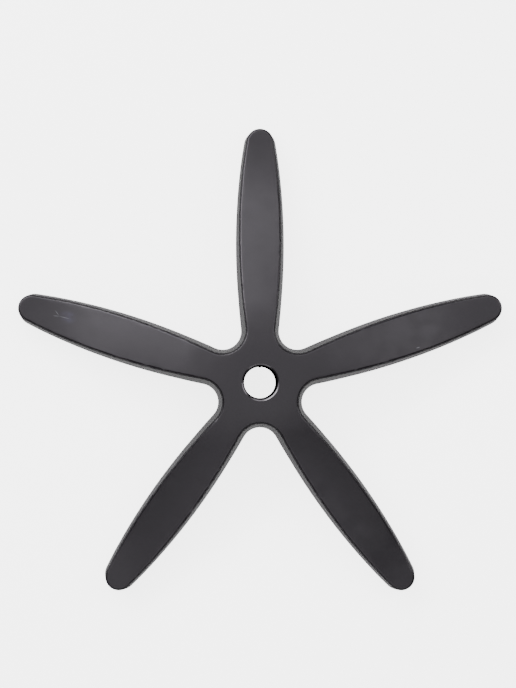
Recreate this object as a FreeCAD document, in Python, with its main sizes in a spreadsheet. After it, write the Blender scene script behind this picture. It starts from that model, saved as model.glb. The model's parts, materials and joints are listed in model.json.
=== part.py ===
import FreeCAD, Part
import math
import os
import Sketcher

# Five star base of an office chair, moulded in one piece from glass filled nylon.
# It is built standing on the floor plane, with one arm along +Y. The finished moulding is then
# let down so that the origin lies on the hub's axis, at the mouth of the column socket.

ARMS = 5
TURN = 360.0 / ARMS
TRUSS_RIBS = 5

# Driving dimensions, in millimetres and degrees. Plan sizes are taken at the floor.
SIZES = {
    # plan of the star
    "tip_span": 690.0,
    "tip_radius": 22.8,
    "belly_width": 72.6,
    "belly_at": 182.0,
    "valley_radius": 22.5,
    "draft": 6.5,
    # side view of an arm, above and below
    "hub_height": 92.0,
    "hub_flat": 40.0,
    "shoulder_radius": 300.0,
    "sweep_radius": 350.0,
    "tip_height": 37.0,
    "edge_radius": 4.0,
    "arch_height": 30.0,
    "arch_level": 120.0,
    "foot_length": 44.0,
    # shell and ribs on the underside
    "wall": 3.2,
    "top_wall": 3.6,
    "rib": 2.6,
    "rib_recess": 2.0,
    "truss_start": 100.0,
    "truss_slant": 50.0,
    "tip_rib": 27.0,
    # hub and its tapered socket for the column, the taper as width lost over length
    "boss_width": 64.0,
    "hub_foot": 4.0,
    "mouth_width": 47.6,
    "mouth_rim": 1.9,
    "mouth_depth": 0.9,
    "socket_taper": 0.036,
    "socket_lip": 6.0,
    "stub_width": 3.0,
    "stub_reach": 1.0,
    "stub_height": 2.0,
    # sockets for the caster stems
    "caster_bore": 11.0,
    "caster_depth": 28.0,
    "caster_point": 2.0,
    "caster_chamfer": 0.8,
    "caster_boss": 23.0,
}

# Room that a cutting form keeps past the form that it cuts.
CLEAR = 10.0

# Sizes that follow from the driving ones, as expressions on the sheet.
TIP_AT = f"((Sizes.tip_span / 2 - Sizes.tip_radius) / sin({TURN} deg))"
REACH = f"({TIP_AT} + Sizes.tip_radius)"
BELLY = "(Sizes.belly_width / 2)"
SIDE_RADIUS = (
    f"((({TIP_AT} - Sizes.belly_at)^2 + {BELLY}^2 - Sizes.tip_radius^2)"
    f" / (2 * ({BELLY} - Sizes.tip_radius)))"
)
SIDE_Y = f"({BELLY} - {SIDE_RADIUS})"
WALL_INSET = "(Sizes.wall / cos(Sizes.draft * 1 deg))"
FOOT_AT = f"({REACH} - Sizes.foot_length)"
ACROSS = f"({TIP_AT} - Sizes.hub_flat)"
BOTH_RADII = "(Sizes.shoulder_radius + Sizes.sweep_radius)"
RISE = f"({BOTH_RADII} - (Sizes.hub_height - Sizes.tip_height))"
FALL = f"(asin({BOTH_RADII} / sqrt({ACROSS}^2 + {RISE}^2)) - atan({RISE} / {ACROSS}))"
SHOULDER_AT = f"(Sizes.hub_flat + Sizes.shoulder_radius * sin({FALL}))"
SHOULDER_Z = f"(Sizes.hub_height - Sizes.shoulder_radius * (1 - cos({FALL})))"
SWEEP_MEETS = f"({TIP_AT} - Sizes.sweep_radius * tan({FALL} / 2))"
TRUSS_END = f"({TIP_AT} - Sizes.caster_boss / 2 - Sizes.tip_rib)"
TRUSS_PITCH = f"(({TRUSS_END} - Sizes.truss_start) / {TRUSS_RIBS - 1})"
MOUTH = "(Sizes.mouth_width / 2)"
LIP_TOP = "(Sizes.hub_foot + Sizes.socket_lip)"
LIP = f"({MOUTH} - Sizes.socket_taper / 2 * (Sizes.hub_height - Sizes.mouth_depth - {LIP_TOP}))"


def make_sheet(doc):
    """The spreadsheet that holds the driving dimensions."""
    sheet = doc.addObject("Spreadsheet::Sheet", "Sizes")
    for row, (name, size) in enumerate(SIZES.items(), start=1):
        sheet.set(f"A{row}", name)
        sheet.set(f"B{row}", str(size))
        sheet.setAlias(f"B{row}", name)
    doc.recompute()
    return sheet


def value(sheet, expression):
    """The number that an expression on the sheet gives."""
    return float(sheet.evalExpression(expression))


def origin_feature(body, role):
    """One of a body's own origin planes or axes."""
    return next(f for f in body.Origin.OriginFeatures if f.Role == role)


def new_sketch(body, name, role="XY_Plane"):
    """An empty sketch on one of its own body's origin planes."""
    sketch = body.newObject("Sketcher::SketchObject", name)
    sketch.AttachmentSupport = (origin_feature(body, role), [""])
    sketch.MapMode = "FlatFace"
    return sketch


def add_arc(sketch, centre, radius, start, end):
    """An arc of a circle, anticlockwise between two angles in degrees."""
    circle = Part.Circle(FreeCAD.Vector(*centre, 0), FreeCAD.Vector(0, 0, 1), radius)
    return sketch.addGeometry(
        Part.ArcOfCircle(circle, math.radians(start), math.radians(end))
    )


def add_line(sketch, start, end):
    """A straight edge between two points."""
    return sketch.addGeometry(
        Part.LineSegment(FreeCAD.Vector(*start, 0), FreeCAD.Vector(*end, 0))
    )


def hold(sketch, kind, *where):
    """Add a constraint that has no size."""
    sketch.addConstraint(Sketcher.Constraint(kind, *where))


def bind(sketch, kind, where, now, expression):
    """Add a constraint that has a size, and tie it to the sheet."""
    index = sketch.addConstraint(Sketcher.Constraint(kind, *where, now))
    sketch.setExpression(f"Constraints[{index}]", expression)


def bind_point(sketch, geometry, point, place, expressions):
    """Hold a point at its distances from the sketch's two axes."""
    axes = (("DistanceX", -2), ("DistanceY", -1))
    for (kind, axis), now, expression in zip(axes, place, expressions):
        if abs(now) < 1e-6:
            hold(sketch, "PointOnObject", geometry, point, axis)
        else:
            bind(sketch, kind, (-1, 1, geometry, point), now, expression)


def turned(x, y, angle):
    """A point of an arm's own plan, turned to the arm's direction."""
    c = math.cos(math.radians(angle))
    s = math.sin(math.radians(angle))
    return (x * c - y * s, x * s + y * c)


def turned_text(x, y, angle):
    """The same turn of two expressions."""
    c = f"cos({angle} deg)"
    s = f"sin({angle} deg)"
    return (f"({x}) * {c} - ({y}) * {s}", f"({x}) * {s} + ({y}) * {c}")


def star_outline(sheet, body, name, inset):
    """Plan of the star: a round tip and two bellied sides for each arm, round valleys between."""
    sketch = new_sketch(body, name)
    tip_at = value(sheet, TIP_AT)
    side_x = value(sheet, "Sizes.belly_at")
    side_y = value(sheet, SIDE_Y)
    side_radius = value(sheet, SIDE_RADIUS)
    tip_radius = value(sheet, "Sizes.tip_radius")
    valley_radius = value(sheet, "Sizes.valley_radius")
    moved = value(sheet, inset)

    # the valley's circle touches both sides, and its centre lies half way between two arms
    along_x, along_y = turned(1, 0, TURN / 2)
    middle = side_x * along_x + side_y * along_y
    beyond = (side_radius + valley_radius) ** 2 - side_x**2 - side_y**2
    valley_at = middle + math.sqrt(middle**2 + beyond)
    tip_turn = math.degrees(math.atan2(-side_y, tip_at - side_x))
    root_turn = math.degrees(
        math.atan2(valley_at * along_y - side_y, valley_at * along_x - side_x)
    )
    valley_end = root_turn + 180
    valley_start = TURN + 180 - root_turn

    for arm in range(ARMS):
        a = 90 + TURN * arm
        tip = add_arc(
            sketch, turned(tip_at, 0, a), tip_radius - moved, a - tip_turn, a + tip_turn
        )
        left = add_arc(
            sketch,
            turned(side_x, side_y, a),
            side_radius - moved,
            a + tip_turn,
            a + root_turn,
        )
        valley = add_arc(
            sketch,
            turned(valley_at, 0, a + TURN / 2),
            valley_radius + moved,
            a + valley_start,
            a + valley_end,
        )
        right = add_arc(
            sketch,
            turned(side_x, -side_y, a),
            side_radius - moved,
            a - root_turn,
            a - tip_turn,
        )
        hold(sketch, "Tangent", tip, 2, left, 1)
        hold(sketch, "Tangent", right, 2, tip, 1)
        hold(sketch, "Tangent", left, 2, valley, 2)
        if arm:
            hold(sketch, "Tangent", last_valley, 1, right, 1)
        else:
            first_right = right
        last_valley = valley
        bind(sketch, "Radius", (tip,), tip_radius - moved, f"Sizes.tip_radius - {inset}")
        bind(
            sketch,
            "Radius",
            (valley,),
            valley_radius + moved,
            f"Sizes.valley_radius + {inset}",
        )
        centres = (
            (tip, tip_at, 0, TIP_AT, "0"),
            (left, side_x, side_y, "Sizes.belly_at", SIDE_Y),
            (right, side_x, -side_y, "Sizes.belly_at", f"-{SIDE_Y}"),
        )
        for arc, x, y, x_text, y_text in centres:
            bind_point(sketch, arc, 3, turned(x, y, a), turned_text(x_text, y_text, a))
    hold(sketch, "Tangent", last_valley, 1, first_right, 1)
    return sketch


def top_profile(sheet, body):
    """All that lies above the star: level hub, round shoulder, slope, and a sweep out to level."""
    sketch = new_sketch(body, "TopProfile", "XZ_Plane")
    flat = value(sheet, "Sizes.hub_flat")
    hub_z = value(sheet, "Sizes.hub_height")
    shoulder = value(sheet, "Sizes.shoulder_radius")
    tip_at = value(sheet, TIP_AT)
    tip_z = value(sheet, "Sizes.tip_height")
    sweep = value(sheet, "Sizes.sweep_radius")
    fall = value(sheet, FALL)
    ceiling = hub_z + CLEAR
    far = value(sheet, REACH) + CLEAR
    over_x, over_z = turned(0, shoulder, -fall)
    out_x, out_z = turned(0, -sweep, -fall)
    slope_start = (flat + over_x, hub_z - shoulder + over_z)
    slope_end = (tip_at + out_x, tip_z + sweep + out_z)

    hub = add_line(sketch, (0, hub_z), (flat, hub_z))
    over = add_arc(sketch, (flat, hub_z - shoulder), shoulder, 90 - fall, 90)
    slope = add_line(sketch, slope_start, slope_end)
    out = add_arc(sketch, (tip_at, tip_z + sweep), sweep, 270 - fall, 270)
    tip = add_line(sketch, (tip_at, tip_z), (far, tip_z))
    side = add_line(sketch, (far, tip_z), (far, ceiling))
    lid = add_line(sketch, (far, ceiling), (0, ceiling))
    axis = add_line(sketch, (0, ceiling), (0, hub_z))
    hold(sketch, "Tangent", hub, 2, over, 2)
    hold(sketch, "Tangent", over, 1, slope, 1)
    hold(sketch, "Tangent", slope, 2, out, 1)
    hold(sketch, "Tangent", out, 2, tip, 1)
    for first, second in ((tip, side), (side, lid), (lid, axis), (axis, hub)):
        hold(sketch, "Coincident", first, 2, second, 1)
    for level in (hub, tip, lid):
        hold(sketch, "Horizontal", level)
    hold(sketch, "Vertical", side)
    for end in (1, 2):
        hold(sketch, "PointOnObject", axis, end, -2)
    bind(sketch, "Radius", (over,), shoulder, "Sizes.shoulder_radius")
    bind(sketch, "Radius", (out,), sweep, "Sizes.sweep_radius")
    bind_point(
        sketch,
        over,
        3,
        (flat, hub_z - shoulder),
        ("Sizes.hub_flat", "Sizes.hub_height - Sizes.shoulder_radius"),
    )
    bind_point(
        sketch,
        out,
        3,
        (tip_at, tip_z + sweep),
        (TIP_AT, "Sizes.tip_height + Sizes.sweep_radius"),
    )
    bind_point(
        sketch,
        side,
        2,
        (far, ceiling),
        (f"{REACH} + {CLEAR}", f"Sizes.hub_height + {CLEAR}"),
    )
    return sketch


def polygon(sheet, sketch, places):
    """A closed outline of straight edges through places that are given as expressions."""
    corners = [tuple(value(sheet, text) for text in place) for place in places]
    lines = []
    for start, end in zip(corners, corners[1:] + corners[:1]):
        lines.append(add_line(sketch, start, end))
    for line, following in zip(lines, lines[1:] + lines[:1]):
        hold(sketch, "Coincident", line, 2, following, 1)
    for line, corner, place in zip(lines, corners, places):
        bind_point(sketch, line, 1, corner, place)
    return sketch


def ceiling_profile(sheet, body):
    """All that lies above the room inside: straight stretches that follow the top from below."""
    far = f"({REACH} + {CLEAR})"
    high = f"(Sizes.hub_height + {CLEAR})"
    hub_z = "(Sizes.hub_height - Sizes.top_wall)"
    tip_z = "(Sizes.tip_height - Sizes.top_wall)"
    places = (
        ("0", hub_z),
        ("Sizes.hub_flat", hub_z),
        (SHOULDER_AT, f"{SHOULDER_Z} - Sizes.top_wall"),
        (SWEEP_MEETS, tip_z),
        (far, tip_z),
        (far, high),
        ("0", high),
    )
    return polygon(sheet, new_sketch(body, "CeilingProfile", "XZ_Plane"), places)


def under_profile(sheet, body, name, lift):
    """All that lies below the arms: level near the hub, then straight down to the foot at the tip."""
    far = f"({REACH} + {CLEAR})"
    roof = f"(Sizes.arch_height + {lift})"
    places = (
        ("0", roof),
        ("Sizes.arch_level", roof),
        (FOOT_AT, lift),
        (far, lift),
        (far, f"-{CLEAR}"),
        ("0", f"-{CLEAR}"),
    )
    return polygon(sheet, new_sketch(body, name, "XZ_Plane"), places)


def socket_profile(sheet, body):
    """Half the section of the column socket: bevelled mouth, slow taper, straight lip at the foot."""
    high = f"(Sizes.hub_height + {CLEAR})"
    rim = f"({MOUTH} + Sizes.mouth_rim)"
    places = (
        ("0", high),
        (rim, high),
        (rim, "Sizes.hub_height"),
        (MOUTH, "Sizes.hub_height - Sizes.mouth_depth"),
        (LIP, LIP_TOP),
        (LIP, f"-{CLEAR}"),
        ("0", f"-{CLEAR}"),
    )
    return polygon(sheet, new_sketch(body, "SocketProfile", "XZ_Plane"), places)


def pad_up(body, sketch, name, length, taper=None):
    """Raise a sketch straight up, or leaning inwards by a taper."""
    pad = body.newObject("PartDesign::Pad", name)
    pad.Refine = False
    pad.Profile = sketch
    pad.setExpression("Length", length)
    if taper:
        pad.setExpression("TaperAngle", taper)
    body.Document.recompute()
    return pad


def must_shrink(body, before, name):
    """Stop if a cut took nothing away."""
    if not body.Shape.Volume < before - 1:
        raise RuntimeError(f"{name} took nothing away")


def groove_round(body, sketch, name):
    """Turn a profile about the hub's axis and take it out of the body."""
    before = body.Shape.Volume
    groove = body.newObject("PartDesign::Groove", name)
    groove.Refine = False
    groove.Profile = sketch
    groove.ReferenceAxis = (sketch, ["V_Axis"])
    groove.Angle = 360
    body.Document.recompute()
    must_shrink(body, before, name)
    return groove


def round_the_hub(body, features, name):
    """Repeat features once for each arm."""
    pattern = body.newObject("PartDesign::PolarPattern", name)
    pattern.Refine = False
    pattern.Originals = features
    pattern.Axis = (origin_feature(body, "Z_Axis"), [""])
    pattern.Angle = 360
    pattern.Occurrences = ARMS
    body.Tip = pattern
    body.Document.recompute()
    return pattern


def raise_sketch(sheet, sketch, floor):
    """Set a level sketch at a height above the floor."""
    sketch.AttachmentOffset = FreeCAD.Placement(
        FreeCAD.Vector(0, 0, value(sheet, floor)), FreeCAD.Rotation()
    )
    sketch.setExpression("AttachmentOffset.Base.z", floor)


def disc(sheet, body, name, width, at="0", floor=None):
    """A sketch of one circle on the first arm's centre line, on a level plane."""
    sketch = new_sketch(body, name)
    if floor:
        raise_sketch(sheet, sketch, floor)
    radius = value(sheet, width) / 2
    centre = (0, value(sheet, at))
    circle = sketch.addGeometry(
        Part.Circle(FreeCAD.Vector(*centre, 0), FreeCAD.Vector(0, 0, 1), radius)
    )
    bind(sketch, "Radius", (circle,), radius, f"{width} / 2")
    bind_point(sketch, circle, 3, centre, ("0", at))
    return sketch


def top_edges(shape):
    """The edges where the star's top meets its leaning side walls."""
    names = []
    for index, edge in enumerate(shape.Edges, start=1):
        middle = edge.valueAt((edge.FirstParameter + edge.LastParameter) / 2)
        facing = []
        for face in shape.ancestorsOfType(edge, Part.Face):
            facing.append(face.normalAt(*face.Surface.parameter(middle)).z)
        if len(facing) == 2 and max(facing) > 0.7 and 0 < min(facing) < 0.7:
            names.append(f"Edge{index}")
    return names


def outer_form(sheet, doc):
    """The star as a solid form: leaning walls, swept top with rounded edges, arch and sockets."""
    body = doc.addObject("PartDesign::Body", "OuterForm")
    outline = star_outline(sheet, body, "OuterOutline", "0")
    pad_up(body, outline, "OuterWalls", "Sizes.hub_height", "-Sizes.draft")
    top = groove_round(body, top_profile(sheet, body), "TopCut")

    rounded = body.newObject("PartDesign::Fillet", "RoundedEdges")
    rounded.Base = (top, top_edges(top.Shape))
    rounded.setExpression("Radius", "Sizes.edge_radius")
    doc.recompute()

    under = under_profile(sheet, body, "ArchProfile", "0")
    groove_round(body, under, "Arch")
    boss = disc(sheet, body, "HubFoot", "Sizes.boss_width", floor="Sizes.hub_foot")
    pad_up(body, boss, "HubFootPad", "Sizes.hub_height / 2")
    groove_round(body, socket_profile(sheet, body), "ColumnSocket")
    gate_stub(sheet, body)
    caster_sockets(sheet, body)
    return body


def gate_stub(sheet, body):
    """The nub left by the moulding's gate, which hangs under the lower rim of the column socket."""
    half = "(Sizes.stub_width / 2)"
    inner = f"({LIP} - Sizes.stub_reach)"
    outer = f"({LIP} + Sizes.stub_width)"
    sketch = new_sketch(body, f"{body.Name}StubPlan")
    raise_sketch(sheet, sketch, "Sizes.hub_foot - Sizes.stub_height")
    places = ((f"-{half}", inner), (half, inner), (half, outer), (f"-{half}", outer))
    pad_up(body, polygon(sheet, sketch, places), f"{body.Name}GateStub", "Sizes.stub_height")


def caster_sockets(sheet, body):
    """A blind socket for a caster's stem near each tip: chamfered mouth below, conical end above."""
    wall = f"({TIP_AT} - Sizes.caster_bore / 2)"
    rim = f"({wall} - Sizes.caster_chamfer)"
    places = (
        (TIP_AT, f"-{CLEAR}"),
        (TIP_AT, "Sizes.caster_depth + Sizes.caster_point"),
        (wall, "Sizes.caster_depth"),
        (wall, "Sizes.caster_chamfer"),
        (rim, "0"),
        (rim, f"-{CLEAR}"),
    )
    before = body.Shape.Volume
    sketch = polygon(sheet, new_sketch(body, "CasterProfile", "YZ_Plane"), places)
    hole = body.newObject("PartDesign::Groove", "CasterSocket")
    hole.Profile = sketch
    hole.ReferenceAxis = (sketch, ["Edge1"])
    hole.Angle = 360
    body.Document.recompute()
    must_shrink(body, before, hole.Name)
    round_the_hub(body, [hole], "CasterSockets")


def core_form(sheet, doc):
    """The room inside the shell, a wall's thickness in from the outer form all round."""
    body = doc.addObject("PartDesign::Body", "CoreForm")
    outline = star_outline(sheet, body, "CoreOutline", WALL_INSET)
    pad_up(body, outline, "CoreWalls", "Sizes.hub_height", "-Sizes.draft")
    groove_round(body, ceiling_profile(sheet, body), "CeilingCut")
    return body


def strip(sheet, body, name, start, end, angle, at="0"):
    """A rib's plan: a straight strip that runs at an angle to +X, set out along the first arm."""
    sketch = new_sketch(body, name)
    sketch.AttachmentOffset = FreeCAD.Placement(
        FreeCAD.Vector(0, value(sheet, at), 0),
        FreeCAD.Rotation(FreeCAD.Vector(0, 0, 1), value(sheet, angle)),
    )
    if at != "0":
        sketch.setExpression("AttachmentOffset.Base.y", at)
    sketch.setExpression("AttachmentOffset.Rotation.Angle", f"{angle} * 1 deg")
    low = "-Sizes.rib / 2"
    high = "Sizes.rib / 2"
    return polygon(sheet, sketch, ((start, low), (end, low), (end, high), (start, high)))


def truss(sheet, body, first, slant):
    """Every second rib of an arm's zigzag, all at one slant, repeated for each arm."""
    half = "(Sizes.belly_width / 2 / sin(Sizes.truss_slant * 1 deg))"
    name = f"Truss{first}"
    at = f"(Sizes.truss_start + {first} * {TRUSS_PITCH})"
    rib = pad_up(
        body,
        strip(sheet, body, f"{name}Strip", f"-{half}", half, slant, at),
        f"{name}Rib",
        "Sizes.hub_height",
    )
    count = (TRUSS_RIBS + 1 - first) // 2
    pattern = body.newObject("PartDesign::MultiTransform", f"{name}Pattern")
    pattern.Refine = False
    pattern.Originals = [rib]
    along = body.newObject("PartDesign::LinearPattern", f"{name}AlongArm")
    along.Direction = (origin_feature(body, "Y_Axis"), [""])
    along.Occurrences = count
    along.setExpression("Length", f"{2 * (count - 1)} * {TRUSS_PITCH}")
    around = body.newObject("PartDesign::PolarPattern", f"{name}AroundHub")
    around.Axis = (origin_feature(body, "Z_Axis"), [""])
    around.Angle = 360
    around.Occurrences = ARMS
    pattern.Transformations = [along, around]
    body.Tip = pattern
    body.Document.recompute()


def rib_form(sheet, doc):
    """What stands inside the shell: ribs round the hub, a zigzag in each arm, and the bosses."""
    body = doc.addObject("PartDesign::Body", "RibForm")
    for name, direction in (("Arm", 90), ("Valley", 90 + TURN / 2)):
        hub_strip = strip(sheet, body, f"{name}Strip", "0", "Sizes.truss_start", f"{direction}")
        hub_rib = pad_up(body, hub_strip, f"{name}Rib", "Sizes.hub_height")
        round_the_hub(body, [hub_rib], f"{name}Ribs")
    truss(sheet, body, 0, "(90 - Sizes.truss_slant)")
    truss(sheet, body, 1, "(90 + Sizes.truss_slant)")
    tip_strip = strip(sheet, body, "TipStrip", TRUSS_END, REACH, "90")
    tip_rib = pad_up(body, tip_strip, "TipRib", "Sizes.hub_height")
    round_the_hub(body, [tip_rib], "TipRibs")
    under = under_profile(sheet, body, "RibProfile", "Sizes.rib_recess")
    groove_round(body, under, "RibRecess")
    hub = disc(sheet, body, "HubBoss", "Sizes.boss_width", floor="Sizes.hub_foot")
    pad_up(body, hub, "HubBossPad", "Sizes.hub_height - Sizes.hub_foot")
    gate_stub(sheet, body)
    tip = disc(sheet, body, "CasterBoss", "Sizes.caster_boss", TIP_AT)
    boss = pad_up(body, tip, "CasterBossPad", "Sizes.hub_height")
    round_the_hub(body, [boss], "CasterBosses")
    return body


def star_base(doc, outer, core, ribs):
    """The moulding: the outer form less the room between the ribs."""
    room = doc.addObject("Part::Cut", "RoomBetweenRibs")
    room.Base = core
    room.Tool = ribs
    star = doc.addObject("Part::Cut", "StarBase")
    star.Base = outer
    star.Tool = room
    star.Refine = True
    star.Label = "star_base"
    star.setExpression("Placement.Base.z", "-Sizes.hub_height")
    doc.recompute()
    return star


def check(doc, pieces):
    """Stop if any object failed, or a piece is not one sound solid."""
    for item in doc.Objects:
        if "Invalid" in item.State or "Error" in item.State:
            raise RuntimeError(f"{item.Name} failed: {item.State}")
    for piece in pieces:
        shape = piece.Shape
        if shape.isNull() or not shape.isValid() or len(shape.Solids) != 1:
            raise RuntimeError(f"{piece.Label} is not one valid solid")


def main():
    doc = FreeCAD.newDocument("five_star_base")
    sheet = make_sheet(doc)
    outer = outer_form(sheet, doc)
    core = core_form(sheet, doc)
    ribs = rib_form(sheet, doc)
    pieces = [star_base(doc, outer, core, ribs)]
    check(doc, pieces)
    os.makedirs("parts", exist_ok=True)
    for piece in pieces:
        piece.Shape.exportStep(f"parts/{piece.Label}.step")
        print(piece.Label, round(piece.Shape.Volume), "mm3", piece.Shape.BoundBox)


main()
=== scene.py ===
"""Looks for the five star base of an office chair.

The solid gets a smoothed skin with a moulded nylon finish. A pale floor, soft lights
and a camera that looks straight down make up the studio.
"""

import json
import math
import bpy
from bpy.props import FloatProperty, FloatVectorProperty, PointerProperty
from bpy.types import Operator, Panel, PropertyGroup
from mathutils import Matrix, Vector

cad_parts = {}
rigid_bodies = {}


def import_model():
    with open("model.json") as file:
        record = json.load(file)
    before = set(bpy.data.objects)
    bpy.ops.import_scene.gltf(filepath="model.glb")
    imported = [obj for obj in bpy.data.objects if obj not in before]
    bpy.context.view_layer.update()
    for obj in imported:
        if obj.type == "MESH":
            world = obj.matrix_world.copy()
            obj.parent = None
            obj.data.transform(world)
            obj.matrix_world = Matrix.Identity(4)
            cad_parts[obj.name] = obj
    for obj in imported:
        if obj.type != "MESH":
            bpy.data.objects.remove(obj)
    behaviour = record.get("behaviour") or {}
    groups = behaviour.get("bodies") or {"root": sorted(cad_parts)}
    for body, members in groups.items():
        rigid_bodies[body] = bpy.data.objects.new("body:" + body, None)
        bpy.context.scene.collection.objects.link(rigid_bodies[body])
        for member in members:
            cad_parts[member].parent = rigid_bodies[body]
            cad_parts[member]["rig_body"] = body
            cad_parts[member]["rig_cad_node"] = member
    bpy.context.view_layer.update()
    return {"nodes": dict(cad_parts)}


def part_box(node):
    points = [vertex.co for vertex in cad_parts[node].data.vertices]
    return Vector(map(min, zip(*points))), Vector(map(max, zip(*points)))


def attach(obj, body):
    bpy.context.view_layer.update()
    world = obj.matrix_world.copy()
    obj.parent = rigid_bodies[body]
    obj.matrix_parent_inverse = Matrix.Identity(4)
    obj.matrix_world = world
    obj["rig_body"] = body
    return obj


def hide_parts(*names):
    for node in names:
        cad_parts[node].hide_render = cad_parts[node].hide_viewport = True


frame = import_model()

bl_info = {
    "name": "Five Star Chair Base",
    "version": (1, 0, 0),
    "blender": (4, 5, 0),
    "location": "3D View > Sidebar > Chair Base",
    "description": "Dresses the moulded star base of an office chair and lights it",
    "category": "Object",
}

STAR_NODE = "star_base"
FLOOR_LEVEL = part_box(STAR_NODE)[0].z
MERGE_DISTANCE = 0.000002

# distances from the hub's axis over which the socket's painted shade and the bevel's
# finish give way to the one outside it
SOCKET_FADE = (0.0239, 0.0241)
BEVEL_FADE = (0.0256, 0.0257)

# how far a surface faces up or down, from 0 on an upright wall to 1 on a level face:
# each finish is whole at the first value and gone at the second
EDGE_FADE = (0.93, 0.96)
STEEP_FADE = (0.45, 0.88)
DRAFTED_FADE = (0.13, 0.22)

# patches to the metre, for the painted highlight near one tip to its radius, and levels
# of finer detail
PAINTED_HIGHLIGHT_NOISE = (1.6, 3.0)
GLOSS_NOISE = (45.0, 4.0)
FLOOR_NOISE = (1.5, 2.0)
CLOUD_DETAIL = 3.0
GRAIN_DETAIL = 2.0

# values of the noise between which each unevenness comes in
CLOUD_SPAN = (0.42, 0.68)
PAINTED_HIGHLIGHT_SPAN = (0.3, 0.7)
GLOSS_SPAN = (0.35, 0.7)
FLOOR_SPAN = (0.3, 0.7)

# centre, angle seen from above, and half length, half width and half depth of each mark
# a painted highlight: a faint violet patch near one tip
PAINTED_HIGHLIGHT = ((-0.2695, 0.0916, -0.055), math.radians(-18), (0.016, 0.012, 0.02))
SCRATCHES = (
    ((-0.2853, 0.0977, -0.055), math.radians(-52), (0.006, 0.0006, 0.02)),
    ((-0.2867, 0.0935, -0.055), math.radians(-6), (0.0055, 0.0006, 0.02)),
    ((-0.2745, 0.0911, -0.055), math.radians(-14), (0.011, 0.0006, 0.02)),
    ((0.2200, 0.0485, -0.04), math.radians(15), (0.004, 0.0009, 0.02)),
)
# part of a mark's radius that is at full strength
PAINTED_HIGHLIGHT_CORE = 0.1
SCRATCH_CORE = 0.2
WEAKEST_PAINTED_HIGHLIGHT = 0.3

NYLON_IOR = 1.46
FULL_SHEEN = 1.0
USUAL_SHEEN = 0.5
NO_SHEEN = 0.0
GRAIN_STRENGTH = 0.6
FLOOR_ROUGHNESS = 0.8
FLOOR_DARKENING = 0.985
WHITE = (1.0, 1.0, 1.0, 1.0)

# name, place, width and length in metres, and the property that holds the power
LIGHTS = (
    ("sky_light", (-0.3, 0.7, 2.5), (3.6, 3.6), "sky_power"),
    ("back_light", (-0.3, 2.2, 2.0), (3.0, 1.6), "back_power"),
    ("key_light", (-1.7, 1.95, 2.0), (2.6, 0.8), "key_power"),
    ("left_light", (-2.3, 0.9, 1.8), (1.6, 2.2), "left_power"),
    ("front_light", (0.15, -1.9, 2.2), (3.0, 0.9), "front_power"),
    ("right_light", (2.3, 0.9, 1.8), (1.6, 2.0), "right_power"),
)
SENSOR_WIDTH = 36.0

NODE_SPACING = 220
FADE_IN = (0.0, 1.0)
FADE_OUT = (1.0, 0.0)
# a Mix node's colour sockets, whose names its number sockets have too
MIX_COLOUR_A = 6
MIX_COLOUR_B = 7
MIX_COLOUR_RESULT = 2


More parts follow.
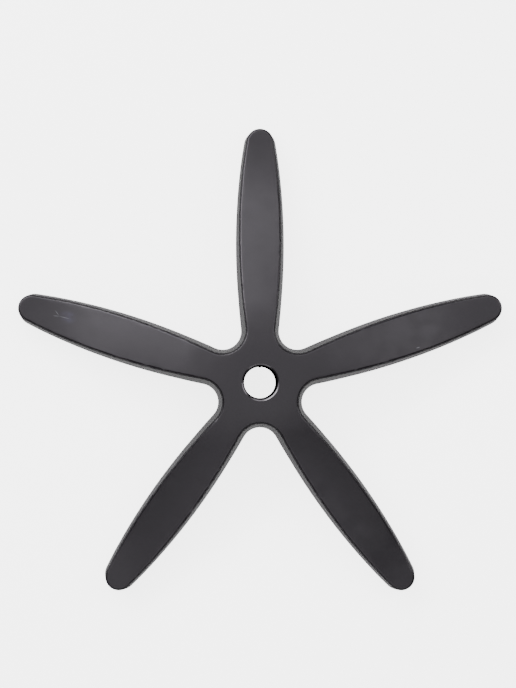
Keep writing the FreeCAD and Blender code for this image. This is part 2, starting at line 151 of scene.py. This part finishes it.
class StarFinish(PropertyGroup):
    """How the moulded nylon looks."""

    nylon_colour: FloatVectorProperty(
        name="Nylon",
        description="Colour of the black moulded nylon",
        subtype="COLOR",
        size=3,
        min=0.0,
        max=1.0,
        default=(0.0088, 0.0078, 0.0094),
    )
    cloud_colour: FloatVectorProperty(
        name="Flow clouds",
        description="Slightly greyer nylon where the glass fibre lies near the surface",
        subtype="COLOR",
        size=3,
        min=0.0,
        max=1.0,
        default=(0.0096, 0.0085, 0.0102),
    )
    # painted highlight: a faint violet patch near one tip
    painted_highlight_colour: FloatVectorProperty(
        name="Painted highlight",
        description="Faint violet of the painted highlight near one tip",
        subtype="COLOR",
        size=3,
        min=0.0,
        max=1.0,
        default=(0.026, 0.024, 0.042),
    )
    scratch_colour: FloatVectorProperty(
        name="Scratch",
        description="Pale grey of the scratches near one tip and on one arm's edge",
        subtype="COLOR",
        size=3,
        min=0.0,
        max=1.0,
        default=(0.085, 0.087, 0.096),
    )
    cloud_size: FloatProperty(
        name="Cloud size",
        description="Width of one cloud of greyer nylon",
        unit="LENGTH",
        min=0.005,
        default=0.06,
    )
    grain_size: FloatProperty(
        name="Grain size",
        description="Width of one pit of the mould's spark texture",
        unit="LENGTH",
        min=0.0001,
        default=0.0009,
    )
    grain_depth: FloatProperty(
        name="Grain depth",
        description="Depth of the mould's spark texture",
        unit="LENGTH",
        min=0.0,
        default=0.00004,
    )
    gloss_roughness: FloatProperty(
        name="Smooth roughness",
        description="Roughness where the surface is glossiest",
        subtype="FACTOR",
        min=0.0,
        max=1.0,
        default=0.33,
    )
    matt_roughness: FloatProperty(
        name="Matt roughness",
        description="Roughness where the surface is dullest",
        subtype="FACTOR",
        min=0.0,
        max=1.0,
        default=0.43,
    )
    edge_roughness: FloatProperty(
        name="Edge roughness",
        description="Roughness of the rounded edges, which the mould leaves smooth",
        subtype="FACTOR",
        min=0.0,
        max=1.0,
        default=0.16,
    )
    edge_gloss: FloatProperty(
        name="Edge gloss",
        description="Share of the usual sheen on the upper part of the rounded edges",
        subtype="FACTOR",
        min=0.0,
        max=1.0,
        default=0.6,
    )
    wall_roughness: FloatProperty(
        name="Wall roughness",
        description="Roughness of the drafted walls, which are duller than the top",
        subtype="FACTOR",
        min=0.0,
        max=1.0,
        default=0.68,
    )
    wall_gloss: FloatProperty(
        name="Wall gloss",
        description="Share of the usual sheen on the drafted walls",
        subtype="FACTOR",
        min=0.0,
        max=1.0,
        default=0.08,
    )
    # painted shade: the wall inside the column socket is coloured near black
    socket_painted_shade_colour: FloatVectorProperty(
        name="Socket",
        description="Colour of the painted shade on the wall inside the column socket",
        subtype="COLOR",
        size=3,
        min=0.0,
        max=1.0,
        default=(0.0005, 0.0005, 0.0005),
    )
    bevel_roughness: FloatProperty(
        name="Bevel roughness",
        description="Roughness of the polished bevel at the socket's mouth",
        subtype="FACTOR",
        min=0.0,
        max=1.0,
        default=0.2,
    )
    sheen_colour: FloatVectorProperty(
        name="Sheen",
        description="Faint violet cast of the nylon's sheen",
        subtype="COLOR",
        size=3,
        min=0.0,
        max=1.0,
        default=(0.97, 0.92, 1.0),
    )
    crease_angle: FloatProperty(
        name="Crease angle",
        description="Edges sharper than this stay crisp when the surface is smoothed",
        subtype="ANGLE",
        min=0.0,
        max=math.pi,
        default=math.radians(22),
    )


class StudioSetup(PropertyGroup):
    """The floor, the lights and the camera."""

    floor_width: FloatProperty(
        name="Floor width",
        description="Width of the square floor under the base",
        unit="LENGTH",
        min=1.0,
        default=9.0,
    )
    floor_colour: FloatVectorProperty(
        name="Floor",
        description="Pale colour of the studio floor",
        subtype="COLOR",
        size=3,
        min=0.0,
        max=1.0,
        default=(0.86, 0.86, 0.865),
    )
    floor_glow: FloatProperty(
        name="Floor glow",
        description="Light that the floor gives, as a light table does",
        min=0.0,
        default=4.0,
    )
    glow_reach: FloatProperty(
        name="Glow reach",
        description="Distance from the hub at which the floor's light has died away",
        unit="LENGTH",
        min=0.5,
        default=1.3,
    )
    sky_power: FloatProperty(
        name="Ceiling light",
        description="Power of the large dim panel above the camera",
        unit="POWER",
        min=0.0,
        default=58.0,
    )
    back_power: FloatProperty(
        name="Back light",
        description="Power of the large soft light beyond the photograph's top",
        unit="POWER",
        min=0.0,
        default=32.0,
    )
    key_power: FloatProperty(
        name="Key light",
        description="Power of the wide light at the upper left that the bevel mirrors",
        unit="POWER",
        min=0.0,
        default=75.0,
    )
    left_power: FloatProperty(
        name="Left light",
        description="Power of the soft light on the left",
        unit="POWER",
        min=0.0,
        default=24.0,
    )
    right_power: FloatProperty(
        name="Right light",
        description="Power of the soft light on the right",
        unit="POWER",
        min=0.0,
        default=35.0,
    )
    front_power: FloatProperty(
        name="Front light",
        description="Power of the weak soft light below the photograph's bottom",
        unit="POWER",
        min=0.0,
        default=20.0,
    )
    room_level: FloatProperty(
        name="Room light",
        description="Strength of the even light from the room",
        min=0.0,
        default=0.08,
    )
    camera_height: FloatProperty(
        name="Camera height",
        description="Height of the camera above the floor",
        unit="LENGTH",
        min=0.5,
        default=2.0,
    )
    camera_aside: FloatVectorProperty(
        name="Camera aside",
        description="Where the camera hangs, seen from above, from the hub's axis",
        subtype="TRANSLATION",
        unit="LENGTH",
        size=2,
        default=(-0.026, -0.005),
    )
    camera_lens: FloatProperty(
        name="Lens",
        description="Focal length in millimetres on a 36 mm wide sensor",
        min=10.0,
        default=73.0,
    )
    camera_shift: FloatVectorProperty(
        name="Lens shift",
        description="Shift that puts the base where the photograph has it in its frame",
        size=2,
        default=(0.0239, 0.0611),
    )


def deselect_all():
    """Leave nothing selected, so that the next operator acts on its own object."""
    bpy.ops.object.select_all(action="DESELECT")


def pick(item):
    """Make one object the only selected one and the active one."""
    deselect_all()
    item.select_set(True)
    bpy.context.view_layer.objects.active = item


def add_node(tree, kind, at, **settings):
    """Add a shader node at a column and row of a grid and set its attributes."""
    node = tree.nodes.new(kind)
    column, row = at
    node.location = (column * NODE_SPACING, row * -NODE_SPACING)
    for name, setting in settings.items():
        setattr(node, name, setting)
    return node


def new_material(name):
    """A node material that holds only its output and a Principled shader."""
    material = bpy.data.materials.new(name)
    material.use_nodes = True
    tree = material.node_tree
    tree.nodes.clear()
    shader = add_node(tree, "ShaderNodeBsdfPrincipled", (6, 0))
    output = add_node(tree, "ShaderNodeOutputMaterial", (8, 0))
    tree.links.new(shader.outputs["BSDF"], output.inputs["Surface"])
    return material, tree, shader


# each function below takes and gives sockets, so that one feeds the next


def object_position(tree, at):
    """The point of the surface, in the object's own metres."""
    return add_node(tree, "ShaderNodeTexCoord", at).outputs["Object"]


def remap(tree, value, span, result, at):
    """Stretch a value from one range to another, with a soft start and end."""
    node = add_node(tree, "ShaderNodeMapRange", at, interpolation_type="SMOOTHSTEP")
    names = ("From Min", "From Max", "To Min", "To Max")
    for name, limit in zip(names, (*span, *result)):
        node.inputs[name].default_value = limit
    tree.links.new(value, node.inputs["Value"])
    return node.outputs["Result"]


def multiply(tree, first, second, at):
    """Multiply two values."""
    node = add_node(tree, "ShaderNodeMath", at, operation="MULTIPLY")
    tree.links.new(first, node.inputs[0])
    tree.links.new(second, node.inputs[1])
    return node.outputs["Value"]


def mix_values(tree, factor, below, above, at):
    """Mix a value with a plain number."""
    node = add_node(tree, "ShaderNodeMix", at)
    tree.links.new(factor, node.inputs["Factor"])
    tree.links.new(below, node.inputs["A"])
    node.inputs["B"].default_value = above
    return node.outputs["Result"]


def blend_colours(tree, factor, below, above, at):
    """Mix two colours, each of them a socket or a plain colour."""
    node = add_node(tree, "ShaderNodeMix", at, data_type="RGBA")
    tree.links.new(factor, node.inputs["Factor"])
    for number, colour in ((MIX_COLOUR_A, below), (MIX_COLOUR_B, above)):
        if isinstance(colour, bpy.types.NodeSocket):
            tree.links.new(colour, node.inputs[number])
        else:
            node.inputs[number].default_value = (*colour, 1.0)
    return node.outputs[MIX_COLOUR_RESULT]


def noise(tree, where, scale, detail, at):
    """Noise of so many patches to each unit of the coordinates."""
    node = add_node(tree, "ShaderNodeTexNoise", at)
    node.inputs["Scale"].default_value = scale
    node.inputs["Detail"].default_value = detail
    tree.links.new(where, node.inputs["Vector"])
    return node.outputs[0]


def length_of(tree, vector, at):
    """The length of a vector."""
    node = add_node(tree, "ShaderNodeVectorMath", at, operation="LENGTH")
    tree.links.new(vector, node.inputs[0])
    return node.outputs["Value"]


def uprightness(tree, at):
    """How far a surface faces up or down: 1 on a level face, 0 on an upright wall."""
    column, row = at
    facing = add_node(tree, "ShaderNodeNewGeometry", at)
    parts = add_node(tree, "ShaderNodeSeparateXYZ", (column + 1, row))
    tree.links.new(facing.outputs["Normal"], parts.inputs["Vector"])
    height = add_node(tree, "ShaderNodeMath", (column + 2, row), operation="ABSOLUTE")
    tree.links.new(parts.outputs["Z"], height.inputs[0])
    return height.outputs["Value"]


def axis_distance(tree, where, at):
    """Distance from the hub's axis."""
    column, row = at
    flat = add_node(tree, "ShaderNodeVectorMath", at, operation="MULTIPLY")
    flat.inputs[1].default_value = (1.0, 1.0, 0.0)
    tree.links.new(where, flat.inputs[0])
    return length_of(tree, flat.outputs["Vector"], (column + 1, row))


def patch_space(tree, where, centre, angle, size, at):
    """Coordinates along a patch that are 0 at its centre and 1 at its edge."""
    node = add_node(tree, "ShaderNodeMapping", at, vector_type="TEXTURE")
    node.inputs["Location"].default_value = centre
    node.inputs["Rotation"].default_value = (0.0, 0.0, angle)
    node.inputs["Scale"].default_value = size
    tree.links.new(where, node.inputs["Vector"])
    return node.outputs["Vector"]


def patch_mask(tree, space, core, at):
    """One in the core of a round patch, and fading to nothing at its edge."""
    column, row = at
    far = length_of(tree, space, at)
    return remap(tree, far, (core, 1.0), FADE_OUT, (column + 1, row))


def moulding_colour(tree, finish, where, socket):
    """Black with faint flow clouds, a painted highlight near one tip, the scratches and
    painted shade on the socket's wall.
    """
    clouds = noise(tree, where, 1 / finish.cloud_size, CLOUD_DETAIL, (-3, 0))
    cloud_mask = remap(tree, clouds, CLOUD_SPAN, FADE_IN, (-2, 0))
    colour = blend_colours(
        tree, cloud_mask, finish.nylon_colour, finish.cloud_colour, (-1, 0)
    )
    # painted highlight: a faint violet patch near one tip, of uneven strength
    space = patch_space(tree, where, *PAINTED_HIGHLIGHT, at=(-3, 2))
    spot = patch_mask(tree, space, PAINTED_HIGHLIGHT_CORE, (-2, 2))
    uneven = noise(tree, space, *PAINTED_HIGHLIGHT_NOISE, at=(-2, 3))
    strength = remap(tree, uneven, PAINTED_HIGHLIGHT_SPAN, (WEAKEST_PAINTED_HIGHLIGHT, 1.0), (-1, 3))
    painted_highlight = multiply(tree, spot, strength, (0, 2))
    colour = blend_colours(tree, painted_highlight, colour, finish.painted_highlight_colour, (1, 1))
    for row, mark in enumerate(SCRATCHES, start=2):
        space = patch_space(tree, where, *mark, at=(-3, -row))
        line = patch_mask(tree, space, SCRATCH_CORE, (-2, -row))
        colour = blend_colours(tree, line, colour, finish.scratch_colour, (2, -row))
    # painted shade: the socket's wall is made near black
    return blend_colours(tree, socket, colour, finish.socket_painted_shade_colour, (3, 1))


def nylon_material(finish):
    """Black glass filled nylon, whose top, edges, walls and socket differ in gloss,
    with painted shade on the socket's wall.
    """
    material, tree, shader = new_material("MouldedNylon")
    where = object_position(tree, (-4, 0))
    far = axis_distance(tree, where, (-3, 9))
    # mask of the column socket, which gets painted shade and no sheen
    socket = remap(tree, far, SOCKET_FADE, FADE_OUT, (-1, 9))
    bevel = remap(tree, far, BEVEL_FADE, FADE_OUT, (-1, 10))
    upright = uprightness(tree, (-4, 7))
    edges = remap(tree, upright, EDGE_FADE, FADE_OUT, (-1, 7))
    steep = remap(tree, upright, STEEP_FADE, FADE_OUT, (-1, 8))
    drafted = remap(tree, upright, DRAFTED_FADE, FADE_OUT, (1, 8))

    colour = moulding_colour(tree, finish, where, socket)
    tree.links.new(colour, shader.inputs["Base Color"])

    gloss = noise(tree, where, *GLOSS_NOISE, at=(-3, 5))
    roughness_span = (finish.gloss_roughness, finish.matt_roughness)
    roughness = remap(tree, gloss, GLOSS_SPAN, roughness_span, (-2, 5))
    roughness = mix_values(tree, edges, roughness, finish.edge_roughness, (1, 5))
    roughness = mix_values(tree, steep, roughness, finish.wall_roughness, (2, 5))
    roughness = mix_values(tree, bevel, roughness, finish.bevel_roughness, (3, 5))
    tree.links.new(roughness, shader.inputs["Roughness"])

    # the steep part of the rounding has no sheen, and shows as the dark line
    edge_sheen = USUAL_SHEEN * finish.edge_gloss
    wall_sheen = USUAL_SHEEN * finish.wall_gloss
    sheen = remap(tree, edges, (0.0, 1.0), (USUAL_SHEEN, edge_sheen), (1, 7))
    sheen = mix_values(tree, steep, sheen, NO_SHEEN, (2, 7))
    sheen = mix_values(tree, drafted, sheen, wall_sheen, (2, 8))
    sheen = mix_values(tree, bevel, sheen, FULL_SHEEN, (3, 7))
    sheen = mix_values(tree, socket, sheen, NO_SHEEN, (4, 7))
    tree.links.new(sheen, shader.inputs["Specular IOR Level"])
    shader.inputs["Specular Tint"].default_value = (*finish.sheen_colour, 1.0)
    shader.inputs["IOR"].default_value = NYLON_IOR

    grain = noise(tree, where, 1 / finish.grain_size, GRAIN_DETAIL, (-3, 6))
    bump = add_node(tree, "ShaderNodeBump", (4, 6))
    bump.inputs["Strength"].default_value = GRAIN_STRENGTH
    bump.inputs["Distance"].default_value = finish.grain_depth
    tree.links.new(grain, bump.inputs["Height"])
    tree.links.new(bump.outputs["Normal"], shader.inputs["Normal"])
    return material


def floor_material(studio):
    """A pale matt light table with a very slight unevenness."""
    material, tree, shader = new_material("PaleFloor")
    where = object_position(tree, (-2, 0))
    uneven = noise(tree, where, *FLOOR_NOISE, at=(-1, 0))
    mask = remap(tree, uneven, FLOOR_SPAN, FADE_IN, (0, 0))
    darker = Vector(studio.floor_colour) * FLOOR_DARKENING
    colour = blend_colours(tree, mask, studio.floor_colour, darker, (1, 0))
    tree.links.new(colour, shader.inputs["Base Color"])
    shader.inputs["Roughness"].default_value = FLOOR_ROUGHNESS
    shader.inputs["Emission Color"].default_value = WHITE
    far = length_of(tree, where, (-1, 2))
    reach = studio.glow_reach
    glow = remap(tree, far, (reach / 2, reach), (studio.floor_glow, 0.0), (0, 2))
    tree.links.new(glow, shader.inputs["Emission Strength"])
    return material


class STARBASE_OT_moulding(Operator):
    """Copy the star as one skin, smooth its round surfaces and give it the nylon"""

    bl_idname = "starbase.moulding"
    bl_label = "Dress the moulding"

    def execute(self, context):
        finish = context.scene.star_finish
        pick(frame["nodes"][STAR_NODE])
        bpy.ops.object.duplicate()
        star = context.active_object
        star.name = "star_moulding"
        bpy.ops.object.parent_clear(type="CLEAR_KEEP_TRANSFORM")
        bpy.ops.object.mode_set(mode="EDIT")
        bpy.ops.mesh.select_all(action="SELECT")
        bpy.ops.mesh.remove_doubles(threshold=MERGE_DISTANCE)
        bpy.ops.object.mode_set(mode="OBJECT")
        if bpy.ops.mesh.customdata_custom_splitnormals_clear.poll():
            bpy.ops.mesh.customdata_custom_splitnormals_clear()
        bpy.ops.object.shade_smooth_by_angle(angle=finish.crease_angle)
        even = star.modifiers.new("EvenNormals", "WEIGHTED_NORMAL")
        even.keep_sharp = True
        bpy.ops.object.modifier_apply(modifier=even.name)
        star.data.materials.clear()
        star.data.materials.append(nylon_material(finish))
        # the copy carries the marks of the CAD node, and is a piece of its own
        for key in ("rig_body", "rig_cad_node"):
            if key in star:
                del star[key]
        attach(star, "root")
        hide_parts(STAR_NODE)
        return {"FINISHED"}


class STARBASE_OT_studio(Operator):
    """Lay the floor, hang the soft lights and set up the camera"""

    bl_idname = "starbase.studio"
    bl_label = "Set up the studio"

    def execute(self, context):
        studio = context.scene.star_studio
        self.lay_floor(context, studio)
        self.set_room_light(context, studio)
        for name, place, size, power in LIGHTS:
            self.hang_light(context, name, place, size, getattr(studio, power))
        self.set_up_camera(context, studio)
        return {"FINISHED"}

    def lay_floor(self, context, studio):
        """A large plane that the base stands on."""
        deselect_all()
        bpy.ops.mesh.primitive_plane_add(
            size=studio.floor_width, location=(0.0, 0.0, FLOOR_LEVEL)
        )
        floor = context.active_object
        floor.name = "studio_floor"
        floor.data.materials.append(floor_material(studio))

    def set_room_light(self, context, studio):
        """Even light from all round, so that shadows stay soft."""
        world = bpy.data.worlds.new("StudioRoom")
        world.use_nodes = True
        room = world.node_tree.nodes["Background"]
        room.inputs["Color"].default_value = WHITE
        room.inputs["Strength"].default_value = studio.room_level
        context.scene.world = world

    def hang_light(self, context, name, place, size, power):
        """A rectangular soft light that faces the hub."""
        deselect_all()
        bpy.ops.object.light_add(type="AREA", location=place)
        lamp = context.active_object
        lamp.name = name
        lamp.data.shape = "RECTANGLE"
        lamp.data.size, lamp.data.size_y = size
        lamp.data.energy = power
        lamp.rotation_euler = (-Vector(place)).to_track_quat("-Z", "Y").to_euler()

    def set_up_camera(self, context, studio):
        """A camera that looks straight down, with +Y up the photograph."""
        deselect_all()
        height = FLOOR_LEVEL + studio.camera_height
        place = (*studio.camera_aside, height)
        bpy.ops.object.camera_add(location=place, rotation=(0.0, 0.0, 0.0))
        camera = context.active_object
        camera.name = "photo_camera"
        camera.data.sensor_width = SENSOR_WIDTH
        camera.data.lens = studio.camera_lens
        camera.data.shift_x, camera.data.shift_y = studio.camera_shift
        context.scene.camera = camera


class STARBASE_PT_panel(Panel):
    """Lists the steps and the values that they use"""

    bl_idname = "STARBASE_PT_panel"
    bl_label = "Chair Base"
    bl_space_type = "VIEW_3D"
    bl_region_type = "UI"
    bl_category = "Chair Base"

    def draw(self, context):
        layout = self.layout
        for group in (context.scene.star_finish, context.scene.star_studio):
            box = layout.box()
            for name in group.__annotations__:
                box.prop(group, name)
        layout.operator(STARBASE_OT_moulding.bl_idname)
        layout.operator(STARBASE_OT_studio.bl_idname)


CLASSES = (
    StarFinish,
    StudioSetup,
    STARBASE_OT_moulding,
    STARBASE_OT_studio,
    STARBASE_PT_panel,
)


def register():
    for item in CLASSES:
        bpy.utils.register_class(item)
    bpy.types.Scene.star_finish = PointerProperty(type=StarFinish)
    bpy.types.Scene.star_studio = PointerProperty(type=StudioSetup)


def unregister():
    del bpy.types.Scene.star_studio
    del bpy.types.Scene.star_finish
    for item in reversed(CLASSES):
        bpy.utils.unregister_class(item)


def main():
    register()
    bpy.ops.starbase.moulding()
    bpy.ops.starbase.studio()


if __name__ == "__main__":
    main()
